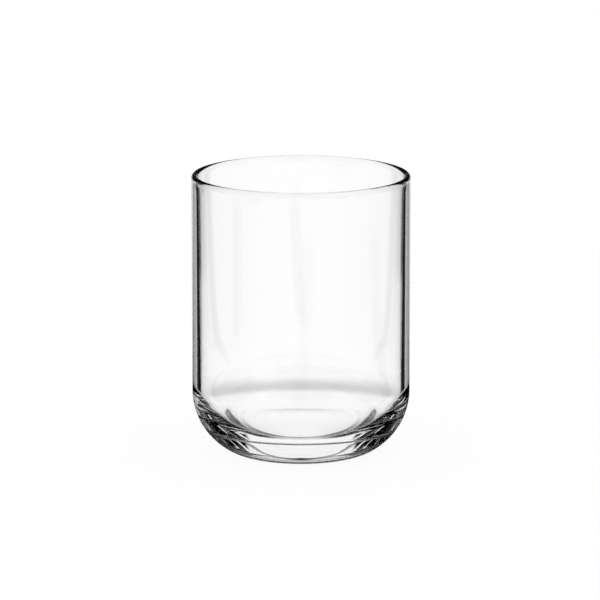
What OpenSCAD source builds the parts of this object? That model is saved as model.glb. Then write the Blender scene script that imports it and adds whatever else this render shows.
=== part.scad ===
// Drinking glass: a straight-sided tumbler of clear soda-lime glass, made in one piece.
// A thin wall with a fire-polished rim runs down into a heavy base with a rounded corner.
// Origin: centre of the foot, on the surface that the glass stands on. +Z is up. Millimetres.

/* [Glass] */
// Height from the surface to the top of the rim
glass_h = 96.5; // [80:0.5:130]
// Outside diameter of the straight wall
glass_d = 75; // [68:0.5:90]

/* [Wall] */
// Thickness of the wall just under the rim
wall_rim = 2.2; // [1.4:0.1:2.8]
// Thickness of the wall where the inner corner starts
wall_low = 2.7; // [1.6:0.1:3.6]

/* [Rim] */
// How far the rim bead stands out from each face of the wall
bead_out = 0.1; // [0.05:0.05:0.3]
// Radius of the hollow that blends the bead into the wall
bead_blend_r = 4; // [2:0.5:8]

/* [Outer corner] */
// Radius of the upper part of the corner, next to the wall
corner_high_r = 22.7; // [18:0.1:26]
// Angle that the upper part turns through
corner_high_turn = 58.4; // [45:0.2:65]
// Radius of the lower part of the corner, next to the foot
corner_low_r = 13; // [9:0.5:17]

/* [Inner corner] */
// Radius of the upper part of the inner corner, next to the wall
hollow_high_r = 18; // [12:0.5:21]
// Angle that the upper part turns through
hollow_high_turn = 46.5; // [30:0.5:55]
// Radius of the lower part of the inner corner, next to the floor
hollow_low_r = 3.1; // [2:0.1:8]

/* [Base] */
// Height of the inner floor above the surface that the glass stands on
floor_h = 9.8; // [7:0.1:18]
// How much higher the inner floor is in the middle than at its edge
floor_rise = 0.3; // [0.1:0.1:1.5]
// How far the foot reaches past the middle of the lower corner radius
foot_reach = 3; // [0.8:0.1:4]
// Width of the flat ring that the glass stands on
foot_w = 5; // [0.8:0.1:8]
// Height of the shallow dome under the base, inside the ring
dome_h = 0.3; // [0.1:0.1:2]

/* [Hidden] */

// Facets on a round shape, and on the very large circles of the dome and the inner floor
round_fn = 240;
dome_fn = 1440;

// Wall
wall_r = glass_d / 2;
hollow_rim_r = wall_r - wall_rim;
hollow_r = wall_r - wall_low;

// Rim bead, and the circles that blend it into the wall on both faces
bead_r = wall_rim / 2 + bead_out;
bead = [wall_r - wall_rim / 2, glass_h - bead_r];
blend_reach = wall_rim / 2 + bead_blend_r;
blend_drop = sqrt(pow(bead_r + bead_blend_r, 2) - pow(blend_reach, 2));
wall_top = bead[1] - blend_drop;
bead_foot = bead_r * [blend_reach, -blend_drop] / (bead_r + bead_blend_r);

// Outer corner: two arcs that share a tangent, the lower one cut off level by the foot
corner_low_h = sqrt(pow(corner_low_r, 2) - pow(foot_reach, 2));
corner_step = (corner_high_r - corner_low_r) * ray(-corner_high_turn);
corner_high = [wall_r - corner_high_r, corner_low_h - corner_step[1]];
corner_low = corner_high + corner_step;
corner_join = corner_high + corner_high_r * ray(-corner_high_turn);
foot_r = corner_low[0] + foot_reach;

// Inner corner: two arcs that share a tangent, the lower one tangent to the floor
hollow_step = (hollow_high_r - hollow_low_r) * ray(-hollow_high_turn);
hollow_high = [hollow_r - hollow_high_r, floor_h + hollow_low_r - hollow_step[1]];
hollow_low = hollow_high + hollow_step;
hollow_join = hollow_high + hollow_high_r * ray(-hollow_high_turn);

// Rise of the inner floor, a small part of a very large circle
rise_r = (pow(hollow_low[0], 2) + pow(floor_rise, 2)) / (2 * floor_rise);

// Dome under the base
dome_rim_r = foot_r - foot_w;
dome_r = (pow(dome_rim_r, 2) + pow(dome_h, 2)) / (2 * dome_h);

// Unit vector in the section plane, from an angle above level
function ray(angle) = [cos(angle), sin(angle)];

// Slice of a disc between two angles less than a right angle apart
module slice(centre, radius, from, to) {
    reach = 2 * radius;
    translate(centre)
        intersection() {
            circle(r = radius, $fn = round_fn);
            polygon([
                [0, 0],
                reach * ray(from),
                reach * ray((from + to) / 2),
                reach * ray(to)
            ]);
        }
}

// Half section of the glass as if it were solid, up to the rim's blend
module outside_section() {
    intersection() {
        union() {
            slice(corner_high, corner_high_r, -corner_high_turn, 0);
            slice(corner_low, corner_low_r, -90, -corner_high_turn);
            polygon([
                [0, 0],
                [foot_r, 0],
                corner_join,
                [wall_r, corner_high[1]],
                [wall_r, wall_top],
                [0, wall_top]
            ]);
        }
        square([glass_d, glass_h]);
    }
}

// Half section of the drinking space
module hollow_section() {
    difference() {
        union() {
            slice(hollow_high, hollow_high_r, -hollow_high_turn, 0);
            slice(hollow_low, hollow_low_r, -90, -hollow_high_turn);
            polygon([
                [0, floor_h],
                [hollow_low[0], floor_h],
                hollow_join,
                [hollow_r, hollow_high[1]],
                [hollow_rim_r, wall_top],
                [hollow_rim_r, glass_h],
                [0, glass_h]
            ]);
        }
        translate([0, floor_h + floor_rise - rise_r])
            circle(r = rise_r, $fn = dome_fn);
    }
}

// Half section of the shallow dome under the base
module dome_section() {
    translate([0, dome_h - dome_r])
        circle(r = dome_r, $fn = dome_fn);
}

// Section of the rim: a round bead on a neck that blends into both faces of the wall
module rim_section() {
    translate(bead)
        circle(r = bead_r, $fn = round_fn);
    difference() {
        polygon([
            [hollow_rim_r, wall_top],
            [wall_r, wall_top],
            bead + bead_foot,
            bead,
            bead + [-bead_foot[0], bead_foot[1]]
        ]);
        for (side = [-1, 1])
            translate([bead[0] + side * blend_reach, wall_top])
                circle(r = bead_blend_r, $fn = round_fn);
    }
}

// The whole glass, turned from its half section
module tumbler() {
    color([0.90, 0.96, 0.95, 0.4])
        rotate_extrude($fn = round_fn) {
            difference() {
                outside_section();
                hollow_section();
                dome_section();
            }
            rim_section();
        }
}

tumbler();
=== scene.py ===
import math

import bpy
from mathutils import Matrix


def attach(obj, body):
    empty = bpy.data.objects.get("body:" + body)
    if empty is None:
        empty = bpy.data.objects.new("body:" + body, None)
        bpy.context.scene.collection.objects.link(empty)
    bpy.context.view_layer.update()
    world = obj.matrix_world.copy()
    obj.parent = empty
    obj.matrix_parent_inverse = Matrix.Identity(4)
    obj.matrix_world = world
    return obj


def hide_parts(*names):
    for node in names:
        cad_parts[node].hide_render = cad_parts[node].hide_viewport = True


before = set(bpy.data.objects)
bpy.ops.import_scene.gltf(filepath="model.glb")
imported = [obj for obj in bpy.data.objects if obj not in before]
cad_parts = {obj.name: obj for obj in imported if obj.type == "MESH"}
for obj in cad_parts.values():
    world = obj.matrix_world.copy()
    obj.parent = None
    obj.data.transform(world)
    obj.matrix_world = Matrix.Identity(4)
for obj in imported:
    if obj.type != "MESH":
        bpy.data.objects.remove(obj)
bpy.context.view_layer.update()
studio = bpy.context.scene


# The camera: a long lens on a tripod, 1.3 m in front of the glass and 0.34 m above the table
# that it stands on, so that the far lip shows above the near one.
camera_looks_down = 12.01
bpy.ops.object.select_all(action="DESELECT")
bpy.ops.object.camera_add(
    location=(-0.00034, -1.338, 0.33701),
    rotation=(math.radians(90 - camera_looks_down), 0, 0),
)
camera = bpy.context.object
camera.name = "studio_camera"
camera.data.sensor_width = 36
camera.data.lens = 238.44
studio.camera = camera


# The tumbler: one piece of clear soda-lime glass, blown in a mould, so it has a heavy base, a
# round corner and a thin wall. The lip was melted round in a flame, and the underside is a
# shallow dome inside a narrow ring, which is all that touches the table.
millimetre = 0.001
glass_height = 96.5 * millimetre
wall_outer_radius = 37.5 * millimetre
wall_at_lip = 2.2 * millimetre
wall_at_base = 2.7 * millimetre
lip_stands_out = 0.1 * millimetre
lip_blend_radius = 4 * millimetre
base_corner_radius = 22.7 * millimetre
base_corner_turn = 58.4
foot_corner_radius = 13 * millimetre
foot_reach = 3 * millimetre
foot_width = 5 * millimetre
dome_height = 0.3 * millimetre
inner_floor_height = 9.8 * millimetre
inner_floor_rise = 0.3 * millimetre
inner_corner_radius = 18 * millimetre
inner_corner_turn = 46.5
floor_corner_radius = 3.1 * millimetre
turns_round = 288


def in_section(degrees):
    """A unit step in the half section, as how far out and how far up."""
    angle = math.radians(degrees)
    return math.cos(angle), math.sin(angle)


def draw_straight(out, up):
    """Carries the end of the drawn section on in a straight line."""
    bpy.ops.mesh.extrude_region_move(TRANSFORM_OT_translate={"value": (out, 0, up)})


def draw_arc(centre_out, centre_up, degrees, steps):
    """Carries the end of the drawn section on round a centre, anticlockwise if positive."""
    bpy.ops.mesh.spin(
        steps=steps,
        angle=math.radians(degrees),
        center=(centre_out, 0, centre_up),
        axis=(0, 1, 0),
    )


# Where the arcs of the outer corner meet: the lower one is cut off level by the foot.
corner_out, corner_up = in_section(-base_corner_turn)
radius_step = base_corner_radius - foot_corner_radius
foot_corner_up = math.sqrt(foot_corner_radius**2 - foot_reach**2)
base_corner_out = wall_outer_radius - base_corner_radius
base_corner_up = foot_corner_up - radius_step * corner_up
foot_corner_out = base_corner_out + radius_step * corner_out
foot_radius = foot_corner_out + foot_reach
foot_corner_turn = math.degrees(math.acos(foot_reach / foot_corner_radius)) - base_corner_turn

# Where the arcs of the inner corner meet: the lower one runs level into the inner floor.
hollow_out, hollow_up = in_section(-inner_corner_turn)
hollow_step = inner_corner_radius - floor_corner_radius
hollow_radius = wall_outer_radius - wall_at_base
inner_corner_out = hollow_radius - inner_corner_radius
inner_corner_up = inner_floor_height + floor_corner_radius - hollow_step * hollow_up
floor_corner_out = inner_corner_out + hollow_step * hollow_out

# The lip is a round bead, on a neck that blends into both faces of the wall.
bead_radius = wall_at_lip / 2 + lip_stands_out
bead_out = wall_outer_radius - wall_at_lip / 2
bead_up = glass_height - bead_radius
blend_out = wall_at_lip / 2 + lip_blend_radius
blend_turn = math.degrees(math.acos(blend_out / (bead_radius + lip_blend_radius)))
wall_top = bead_up - (bead_radius + lip_blend_radius) * math.sin(math.radians(blend_turn))

# The dome is a small part of a very large sphere.
dome_edge = foot_radius - foot_width
dome_radius = (dome_edge**2 + dome_height**2) / (2 * dome_height)
dome_turn = math.degrees(math.asin(dome_edge / dome_radius))

# So is the inner floor, which is a little higher in the middle.
floor_radius = (floor_corner_out**2 + inner_floor_rise**2) / (2 * inner_floor_rise)
floor_turn = math.degrees(math.asin(floor_corner_out / floor_radius))

# One vertex at the middle of the dome is carried round the half section, from the underside
# over the lip to the middle of the inner floor.
bpy.ops.object.select_all(action="DESELECT")
bpy.ops.mesh.primitive_plane_add(size=foot_width, location=(0, 0, 0))
tumbler = bpy.context.object
tumbler.name = "tumbler_glass"
bpy.ops.object.mode_set(mode="EDIT")
bpy.ops.mesh.select_all(action="SELECT")
bpy.ops.mesh.merge(type="CENTER")
bpy.ops.transform.translate(value=(0, 0, dome_height))
draw_arc(0, dome_height - dome_radius, -dome_turn, 26)
draw_straight(foot_width, 0)
draw_arc(foot_corner_out, foot_corner_up, foot_corner_turn, 16)
draw_arc(base_corner_out, base_corner_up, base_corner_turn, 46)
draw_straight(0, wall_top - base_corner_up)
draw_arc(bead_out + blend_out, wall_top, -blend_turn, 5)
draw_arc(bead_out, bead_up, 180 + 2 * blend_turn, 36)
draw_arc(bead_out - blend_out, wall_top, -blend_turn, 5)
draw_straight(wall_at_lip - wall_at_base, inner_corner_up - wall_top)
draw_arc(inner_corner_out, inner_corner_up, -inner_corner_turn, 30)
draw_arc(floor_corner_out, inner_floor_height + floor_corner_radius, inner_corner_turn - 90, 18)
draw_arc(0, inner_floor_height + inner_floor_rise - floor_radius, floor_turn, 22)


def select_long_edges(shape, shortest):
    """Selects only the edges of the drawn section that are longer than the given length."""
    bpy.ops.mesh.select_all(action="DESELECT")
    bpy.ops.object.mode_set(mode="OBJECT")
    corners = shape.data.vertices
    for edge in shape.data.edges:
        start, end = edge.vertices
        edge.select = (corners[start].co - corners[end].co).length > shortest
    bpy.ops.object.mode_set(mode="EDIT")


# The straight runs are cut into short ones, so that the round parts shade no further than
# their own ends. Then the section is turned once round the z axis and closed.
long_run = 10 * millimetre
bpy.ops.mesh.select_mode(type="EDGE")
select_long_edges(tumbler, long_run)
bpy.ops.mesh.subdivide(number_cuts=27)
bpy.ops.mesh.select_mode(type="VERT")
bpy.ops.mesh.select_all(action="SELECT")
bpy.ops.mesh.spin(
    steps=turns_round,
    angle=math.radians(360),
    center=(0, 0, 0),
    axis=(0, 0, 1),
)
bpy.ops.mesh.select_all(action="SELECT")
bpy.ops.mesh.remove_doubles(threshold=0.01 * millimetre)
bpy.ops.mesh.normals_make_consistent(inside=False)
bpy.ops.object.mode_set(mode="OBJECT")
bpy.ops.object.shade_smooth()


def add_node(tree, kind, label):
    """Adds a node to a material or to the tent, under a plain name."""
    node = tree.nodes.new(kind)
    node.label = label
    return node


def work_out(tree, operation, first, second=None):
    """Adds a sum to the tree, on two sockets or numbers, and gives its result."""
    step = add_node(tree, "ShaderNodeMath", operation.lower())
    step.operation = operation
    for place, value in enumerate((first, second)):
        if value is None:
            continue
        if isinstance(value, (int, float)):
            step.inputs[place].default_value = value
        else:
            tree.links.new(value, step.inputs[place])
    return step.outputs[0]


def ease(tree, value, start, end, low, high):
    """Adds a soft change from low to high, as the value goes from start to end."""
    step = add_node(tree, "ShaderNodeMapRange", "ease")
    step.interpolation_type = "SMOOTHSTEP"
    tree.links.new(value, step.inputs["Value"])
    step.inputs["From Min"].default_value = start
    step.inputs["From Max"].default_value = end
    step.inputs["To Min"].default_value = low
    step.inputs["To Max"].default_value = high
    return step.outputs["Result"]


# The glass itself is clear, with the faint green of its iron in the thick base.
glass = bpy.data.materials.new("clear_soda_lime_glass")
glass.use_nodes = True
tree = glass.node_tree
glass_shader = tree.nodes["Principled BSDF"]
glass_shader.inputs["Base Color"].default_value = (1, 1, 1, 1)
glass_shader.inputs["IOR"].default_value = 1.52
glass_shader.inputs["Transmission Weight"].default_value = 1
iron_tint = add_node(tree, "ShaderNodeVolumeAbsorption", "faint green of the iron")
iron_tint.inputs["Color"].default_value = (0.5, 0.72, 0.66, 1)
iron_tint.inputs["Density"].default_value = 0.8
tree.links.new(iron_tint.outputs["Volume"], tree.nodes["Material Output"].inputs["Volume"])

# The mould leaves faint waves round the outside, strongest at the corner of the base, where
# the glass cooled last. The inside is smooth. There is about one wave in 22 mm round the
# glass and one in 1.5 mm up it.
waves_round = 45
waves_up = 650
wave_depth = 0.004 * millimetre
waves_full_below = 18 * millimetre
waves_faint_above = 28 * millimetre
faint_share = 0.04
outside_from = 4 * millimetre
outside_full = 12 * millimetre
place = add_node(tree, "ShaderNodeTexCoord", "place on the glass")
place_parts = add_node(tree, "ShaderNodeSeparateXYZ", "place by axis")
tree.links.new(place.outputs["Object"], place_parts.inputs["Vector"])
facing_parts = add_node(tree, "ShaderNodeSeparateXYZ", "facing by axis")
tree.links.new(place.outputs["Normal"], facing_parts.inputs["Vector"])
above_table = place_parts.outputs["Z"]
facing_outwards = work_out(
    tree,
    "ADD",
    work_out(tree, "MULTIPLY", place_parts.outputs["X"], facing_parts.outputs["X"]),
    work_out(tree, "MULTIPLY", place_parts.outputs["Y"], facing_parts.outputs["Y"]),
)
wave_place = add_node(tree, "ShaderNodeCombineXYZ", "long round the glass, short up it")
for axis, waves_per_metre in (("X", waves_round), ("Y", waves_round), ("Z", waves_up)):
    along_axis = work_out(tree, "MULTIPLY", place_parts.outputs[axis], waves_per_metre)
    tree.links.new(along_axis, wave_place.inputs[axis])
waves = add_node(tree, "ShaderNodeTexNoise", "mould waves")
waves.inputs["Scale"].default_value = 1
waves.inputs["Detail"].default_value = 1
tree.links.new(wave_place.outputs["Vector"], waves.inputs["Vector"])
wave_share = work_out(
    tree,
    "MULTIPLY",
    ease(tree, facing_outwards, outside_from, outside_full, 0, 1),
    ease(tree, above_table, waves_full_below, waves_faint_above, 1, faint_share),
)
skin = add_node(tree, "ShaderNodeBump", "waves in the skin")
skin.inputs["Strength"].default_value = 1
skin.inputs["Distance"].default_value = wave_depth
tree.links.new(work_out(tree, "MULTIPLY", waves.outputs["Fac"], wave_share), skin.inputs["Height"])
tree.links.new(skin.outputs["Normal"], glass_shader.inputs["Normal"])

# The ring that it stands on is faintly scuffed from use.
scuffed_below = 0.1 * millimetre
polished_above = 0.4 * millimetre
scuffed_roughness = 0.12
scuffed = ease(tree, above_table, scuffed_below, polished_above, scuffed_roughness, 0)
tree.links.new(scuffed, glass_shader.inputs["Roughness"])
tumbler.data.materials.append(glass)
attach(tumbler, "root")
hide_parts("tumbler")


# The light tent: white cloth behind the glass and dark cards to the sides of it, with thin gaps
# between the cards. Glass bends the light at its edges that far round, so the cards draw its
# edges dark, and the gaps put the fine white streaks in its base.
def angle_off(tree, across, along, heading, start_out):
    """Measures degrees off a heading, from where light leaves the side of the glass."""
    cosine = math.cos(math.radians(heading))
    sine = math.sin(math.radians(heading))
    side = work_out(
        tree,
        "SUBTRACT",
        work_out(tree, "MULTIPLY", across, cosine),
        work_out(tree, "MULTIPLY", along, sine),
    )
    ahead = work_out(
        tree,
        "ADD",
        work_out(tree, "MULTIPLY", across, sine),
        work_out(tree, "MULTIPLY", along, cosine),
    )
    side = work_out(tree, "SUBTRACT", work_out(tree, "ABSOLUTE", side), start_out)
    side = work_out(tree, "MAXIMUM", side, 0)
    return work_out(tree, "MULTIPLY", work_out(tree, "ARCTAN2", side, ahead), math.degrees(1))


def read_stops(tree, angle, stops_by_angle):
    """Reads a brightness from stops that are set by angle, from 0 to 180 degrees."""
    ramp = add_node(tree, "ShaderNodeValToRGB", "cloth and cards by angle")
    tree.links.new(work_out(tree, "DIVIDE", angle, 180), ramp.inputs["Fac"])
    stops = ramp.color_ramp.elements
    while len(stops) > 1:
        stops.remove(stops[-1])
    for place, (degrees, level) in enumerate(stops_by_angle):
        stop = stops[0] if place == 0 else stops.new(degrees / 180)
        stop.position = degrees / 180
        stop.color = (level, level, level, 1)
    split = add_node(tree, "ShaderNodeSeparateColor", "level")
    tree.links.new(ramp.outputs["Color"], split.inputs["Color"])
    return split.outputs["Red"]


def show_by_ray(tree, plain, mirrored, through, turned):
    """Shows one shader to the eye, one to light mirrored on the outside of the glass, one to
    light that goes straight through it and one to light that its inside turns back."""
    path = add_node(tree, "ShaderNodeLightPath", "kind of ray")
    turned_inside = work_out(tree, "GREATER_THAN", path.outputs["Glossy Depth"], 0.5)
    picture = plain
    for share, other in (
        (path.outputs["Is Glossy Ray"], mirrored),
        (path.outputs["Is Transmission Ray"], through),
        (work_out(tree, "MULTIPLY", path.outputs["Is Transmission Ray"], turned_inside), turned),
    ):
        choose = add_node(tree, "ShaderNodeMixShader", "one or the other")
        tree.links.new(share, choose.inputs["Fac"])
        tree.links.new(picture, choose.inputs[1])
        tree.links.new(other, choose.inputs[2])
        picture = choose.outputs["Shader"]
    return picture


def glow(tree, kind, label, level):
    """Adds a white glow of one level, or of a level that comes from a socket."""
    light = add_node(tree, kind, label)
    light.inputs["Color"].default_value = (1, 1, 1, 1)
    if isinstance(level, (int, float)):
        light.inputs["Strength"].default_value = level
    else:
        tree.links.new(level, light.inputs["Strength"])
    return light.outputs[0]


# Brightness by degrees off the line of the camera, first for light that goes straight through
# the glass and then for light that is mirrored on it. The table repeats both.
seen_by_angle = (
    (0, 1.0),
    (9, 1.0),
    (13, 0.8),
    (18.5, 0.75),
    (20, 0.02),
    (34, 0.02),
    (40, 1.0),
    (180, 1.0),
)
mirrored_by_angle = (
    (0, 0.8),
    (22, 0.8),
    (28, 0.0),
    (60, 0.0),
    (75, 0.75),
    (180, 0.95),
)
tent = bpy.data.worlds.new("light_tent")
tent.use_nodes = True
studio.world = tent
tree = tent.node_tree
tree.nodes.clear()
direction = add_node(tree, "ShaderNodeTexCoord", "direction")
parts = add_node(tree, "ShaderNodeSeparateXYZ", "direction by axis")
tree.links.new(direction.outputs["Generated"], parts.inputs["Vector"])
height = work_out(
    tree, "MULTIPLY", work_out(tree, "ARCSINE", parts.outputs["Z"]), math.degrees(1)
)
angle = angle_off(tree, parts.outputs["X"], parts.outputs["Y"], 0, 0)

# The cloth behind reaches further round above the cards than between them.
low_cloth_reach = 30
high_cloth_reach = 42
cloth_edge_softness = 1.5
cloth_edge = ease(tree, height, 17, 22, low_cloth_reach, high_cloth_reach)
past_edge = work_out(tree, "SUBTRACT", angle, cloth_edge)
in_cloth = ease(tree, past_edge, -cloth_edge_softness, cloth_edge_softness, 1, 0)
below_cloth_top = ease(tree, height, 37, 43, 1, 0)
cloth = work_out(tree, "MULTIPLY", in_cloth, below_cloth_top)

# A dark rail hangs before the cloth and rises to both sides. It draws the dark line over the
# foot, and light that has crossed three faces of the glass or more passes it by.
rail_height = 25
rail_rise = 0.25
rail_half_width = 3.8
rail_soft_edge = 4.1
rail_faces = 2.5
rail_middle = work_out(tree, "ADD", work_out(tree, "MULTIPLY", angle, rail_rise), rail_height)
off_rail = work_out(tree, "ABSOLUTE", work_out(tree, "SUBTRACT", height, rail_middle))
path = add_node(tree, "ShaderNodeLightPath", "faces of the glass crossed")
past_base = work_out(tree, "GREATER_THAN", path.outputs["Transmission Depth"], rail_faces)
beside_rail = ease(tree, off_rail, rail_half_width, rail_soft_edge, 0.01, 1)
cloth = work_out(tree, "MULTIPLY", cloth, work_out(tree, "MAXIMUM", beside_rail, past_base))

# The cards hang level, so the gaps between them are level too, and uneven.
gaps_across = 0.022
gaps_up = 0.36
gap_brightness = 0.95
hanging = add_node(tree, "ShaderNodeCombineXYZ", "across and up the cards")
tree.links.new(work_out(tree, "MULTIPLY", angle, gaps_across), hanging.inputs["X"])
tree.links.new(work_out(tree, "MULTIPLY", height, gaps_up), hanging.inputs["Y"])
gaps = add_node(tree, "ShaderNodeTexNoise", "uneven gaps")
gaps.noise_dimensions = "2D"
gaps.inputs["Scale"].default_value = 1
gaps.inputs["Detail"].default_value = 1.5
tree.links.new(hanging.outputs["Vector"], gaps.inputs["Vector"])
cards = ease(tree, gaps.outputs["Fac"], 0.62, 0.65, 0, gap_brightness)

# More white: a low strip where the cards meet the table, the light overhead, and a cloth to
# one side, which keeps the base clear from there too.
low_strip = work_out(
    tree, "MULTIPLY", ease(tree, angle, 46, 48, 0, 1), ease(tree, height, 0, 1.5, 0.2, 0)
)
top_light = ease(tree, height, 44, 48, 0, 1)
side_heading = 135
off_side = angle_off(tree, parts.outputs["X"], parts.outputs["Y"], side_heading, 0)
side_cloth = work_out(tree, "MULTIPLY", ease(tree, off_side, 14, 18, 0.9, 0), below_cloth_top)
turned_level = cloth
for white in (cards, low_strip, top_light, side_cloth):
    turned_level = work_out(tree, "MAXIMUM", turned_level, white)

# Up to a few degrees over the edge of the table, light that is mirrored or goes straight
# through meets the same as on the table. Higher up, mirrored light meets the dark cards, and
# light that goes straight through meets plain white.
mirrored_level = work_out(
    tree,
    "MULTIPLY",
    read_stops(tree, angle, mirrored_by_angle),
    ease(tree, height, 2, 5, 1, 0.02),
)
seen_level = work_out(
    tree, "MAXIMUM", read_stops(tree, angle, seen_by_angle), ease(tree, height, 0, 8, 0, 1)
)
world_out = add_node(tree, "ShaderNodeOutputWorld", "tent")
tree.links.new(
    show_by_ray(
        tree,
        glow(tree, "ShaderNodeBackground", "plain white", 1),
        glow(tree, "ShaderNodeBackground", "cloth mirrored on the glass", mirrored_level),
        glow(tree, "ShaderNodeBackground", "cloth seen through the glass", seen_level),
        glow(tree, "ShaderNodeBackground", "cloth and cards turned in the glass", turned_level),
    ),
    world_out.inputs["Surface"],
)


# The table: one white sheet under the glass and far behind it. It is lit from below as well,
# so it stays as white as the tent, and only the faintest shadow of the glass is left on it.
# Black cards are painted into its glow too, as painted shade that only the glass shows, further
# off than the camera's picture reaches.
table_radius = 3
table_gap = 0.2 * millimetre
bpy.ops.object.select_all(action="DESELECT")
bpy.ops.mesh.primitive_circle_add(
    vertices=128, radius=table_radius, fill_type="NGON", location=(0, 0, -table_gap)
)
table = bpy.context.object
table.name = "white_table"
sheet = bpy.data.materials.new("white_sheet")
sheet.use_nodes = True
tree = sheet.node_tree
tree.nodes.clear()
position = add_node(tree, "ShaderNodeTexCoord", "place on the table")
parts = add_node(tree, "ShaderNodeSeparateXYZ", "place by axis")
tree.links.new(position.outputs["Object"], parts.inputs["Vector"])
across = parts.outputs["X"]
along = parts.outputs["Y"]


def distance_from(tree, along_at):
    """Measures how far a place on the table is from a point on the line of the camera."""
    ahead = work_out(tree, "SUBTRACT", along, along_at)
    across_squared = work_out(tree, "MULTIPLY", across, across)
    ahead_squared = work_out(tree, "MULTIPLY", ahead, ahead)
    return work_out(tree, "SQRT", work_out(tree, "ADD", across_squared, ahead_squared))


def paint_dark_cards(tree, heading, stops_by_angle, zone):
    """Paints shade into the sheet's glow to both sides of a heading, within a zone of distances.
    """
    side_of_glass = 36 * millimetre
    angle = angle_off(tree, across, along, heading, side_of_glass)
    cloth = read_stops(tree, angle, stops_by_angle)
    return work_out(
        tree,
        "ADD",
        work_out(tree, "MULTIPLY", cloth, zone),
        work_out(tree, "SUBTRACT", 1, zone),
    )


def paint_shade_ring(tree, distance, ring, depth):
    """Paints shade on the sheet along a ring, and gives what is left of its brightness. The ring
    says at which distances it starts, is full, is still full and ends."""
    inner, inner_full, outer_full, outer = ring
    ring_share = work_out(
        tree,
        "MULTIPLY",
        ease(tree, distance, inner, inner_full, 0, 1),
        ease(tree, distance, outer_full, outer, 1, 0),
    )
    return work_out(tree, "SUBTRACT", 1, work_out(tree, "MULTIPLY", ring_share, depth))


# The cards are painted shade in the sheet's glow, to both sides of three lines that start at the
# glass: one straight away from the camera, one to the left and, nearer and narrower, one forwards
# to the right. Light that goes straight through the glass meets only the first, and only far off.
cards_by_angle = (
    (0, 1.0),
    (10.5, 1.0),
    (13, 0.75),
    (20, 0.73),
    (29.5, 0.73),
    (30.5, 0.0),
    (45, 0.0),
    (47.5, 0.8),
    (120, 0.85),
    (150, 1.0),
    (180, 1.0),
)
narrow_cards_by_angle = (
    (0, 1.0),
    (24, 1.0),
    (29, 0.0),
    (37, 0.0),
    (44, 1.0),
    (180, 1.0),
)
left_heading = -90
distance = distance_from(tree, 0)
far_off = ease(tree, distance, 0.26, 0.32, 0, 1)
straight_level = paint_dark_cards(tree, 0, seen_by_angle, far_off)
off_the_glass = ease(tree, distance, 0.05, 0.1, 0, 1)
furthest_off = ease(tree, distance, 0.47, 0.55, 0, 1)
beside = work_out(
    tree,
    "MULTIPLY",
    ease(tree, distance, 0.08, 0.14, 0, 0.75),
    ease(tree, distance, 0.38, 0.44, 1, 0),
)
turned_level = paint_dark_cards(tree, 0, cards_by_angle, off_the_glass)
for laid in (
    paint_dark_cards(tree, left_heading, cards_by_angle, furthest_off),
    paint_dark_cards(tree, side_heading, narrow_cards_by_angle, beside),
):
    turned_level = work_out(tree, "MULTIPLY", turned_level, laid)

# Painted shadows of the glass on the sheet, which only light through or in the glass meets: the
# soft ring of the lip behind it, the thin line where the foot meets the sheet, and a narrow one
# at the front.
lip_shadow_behind = 22 * millimetre
lip_shadow_ring = (0.041, 0.05, 0.051, 0.069)
lip_shadow_depth = 0.34
foot_shadow_ring = (0.0203, 0.0208, 0.0222, 0.0227)
front_shadow_ring = (0.0278, 0.0286, 0.038, 0.045)
lip_shadow = paint_shade_ring(tree, distance_from(tree, lip_shadow_behind), lip_shadow_ring, lip_shadow_depth)
painted_foot_shadow_depth = ease(tree, along, -0.02, 0, 0.97, 0.12)
painted_foot_shadow = paint_shade_ring(tree, distance, foot_shadow_ring, painted_foot_shadow_depth)
front_shadow_depth = work_out(
    tree,
    "MULTIPLY",
    ease(tree, along, -0.003, 0.006, 0.97, 0),
    ease(tree, work_out(tree, "ABSOLUTE", across), 0.005, 0.016, 0.25, 1),
)
front_shadow = paint_shade_ring(tree, distance, front_shadow_ring, front_shadow_depth)
for shadow in (lip_shadow, painted_foot_shadow):
    straight_level = work_out(tree, "MULTIPLY", straight_level, shadow)
for shadow in (painted_foot_shadow, front_shadow):
    turned_level = work_out(tree, "MULTIPLY", turned_level, shadow)

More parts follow.
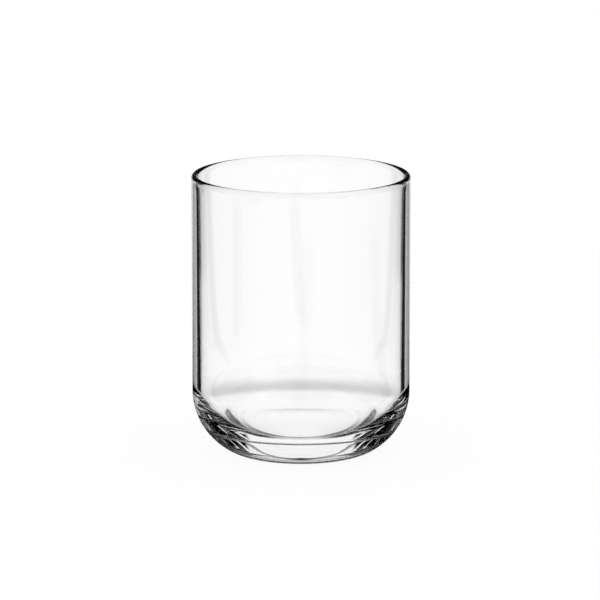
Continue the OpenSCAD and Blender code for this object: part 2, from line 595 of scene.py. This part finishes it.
# Painted shade: the sheet glows dimmer for light that the glass turns back more than once.
painted_dimming_when_turned_again = 0.85
path = add_node(tree, "ShaderNodeLightPath", "turns inside the glass")
turned_again = work_out(tree, "GREATER_THAN", path.outputs["Glossy Depth"], 1.5)
painted_dimming = work_out(tree, "MULTIPLY", turned_again, painted_dimming_when_turned_again)
turned_level = work_out(tree, "MULTIPLY", turned_level, work_out(tree, "SUBTRACT", 1, painted_dimming))

# To the eye the sheet glows white, and near the glass it is partly lit from above, so that
# the glass leaves its faint shadow there.
shadow_share = 0.08
lit_from_above = add_node(tree, "ShaderNodeBsdfDiffuse", "sheet lit from above")
lit_from_above.inputs["Color"].default_value = (1, 1, 1, 1)
shade = add_node(tree, "ShaderNodeMixShader", "with the shadow of the glass")
tree.links.new(ease(tree, distance, 0.1, 0.4, shadow_share, 0), shade.inputs["Fac"])
tree.links.new(glow(tree, "ShaderNodeEmission", "sheet lit from below", 1), shade.inputs[1])
tree.links.new(lit_from_above.outputs["BSDF"], shade.inputs[2])
# Painted reflection: light mirrored on the outside of the glass meets a sheet that is black near
# the glass and further off follows the tent's mirrored brightness by angle.
mirrored_level = work_out(
    tree,
    "MULTIPLY",
    read_stops(tree, angle_off(tree, across, along, 0, 0), mirrored_by_angle),
    ease(tree, distance, 0.07, 0.12, 0, 1),
)
sheet_out = add_node(tree, "ShaderNodeOutputMaterial", "sheet")
tree.links.new(
    show_by_ray(
        tree,
        shade.outputs["Shader"],
        glow(tree, "ShaderNodeEmission", "sheet mirrored on the glass", mirrored_level),
        glow(tree, "ShaderNodeEmission", "sheet seen through the glass", straight_level),
        glow(tree, "ShaderNodeEmission", "sheet and cards turned in the glass", turned_level),
    ),
    sheet_out.inputs["Surface"],
)
table.data.materials.append(sheet)


# The picture's own settings: colours as they are written, and enough bounces for light to
# find its way through the thick base, but not for light that is trapped in the lip.
studio.view_settings.view_transform = "Standard"
most_bounces = 12
studio.cycles.max_bounces = most_bounces
studio.cycles.glossy_bounces = most_bounces
studio.cycles.transmission_bounces = most_bounces
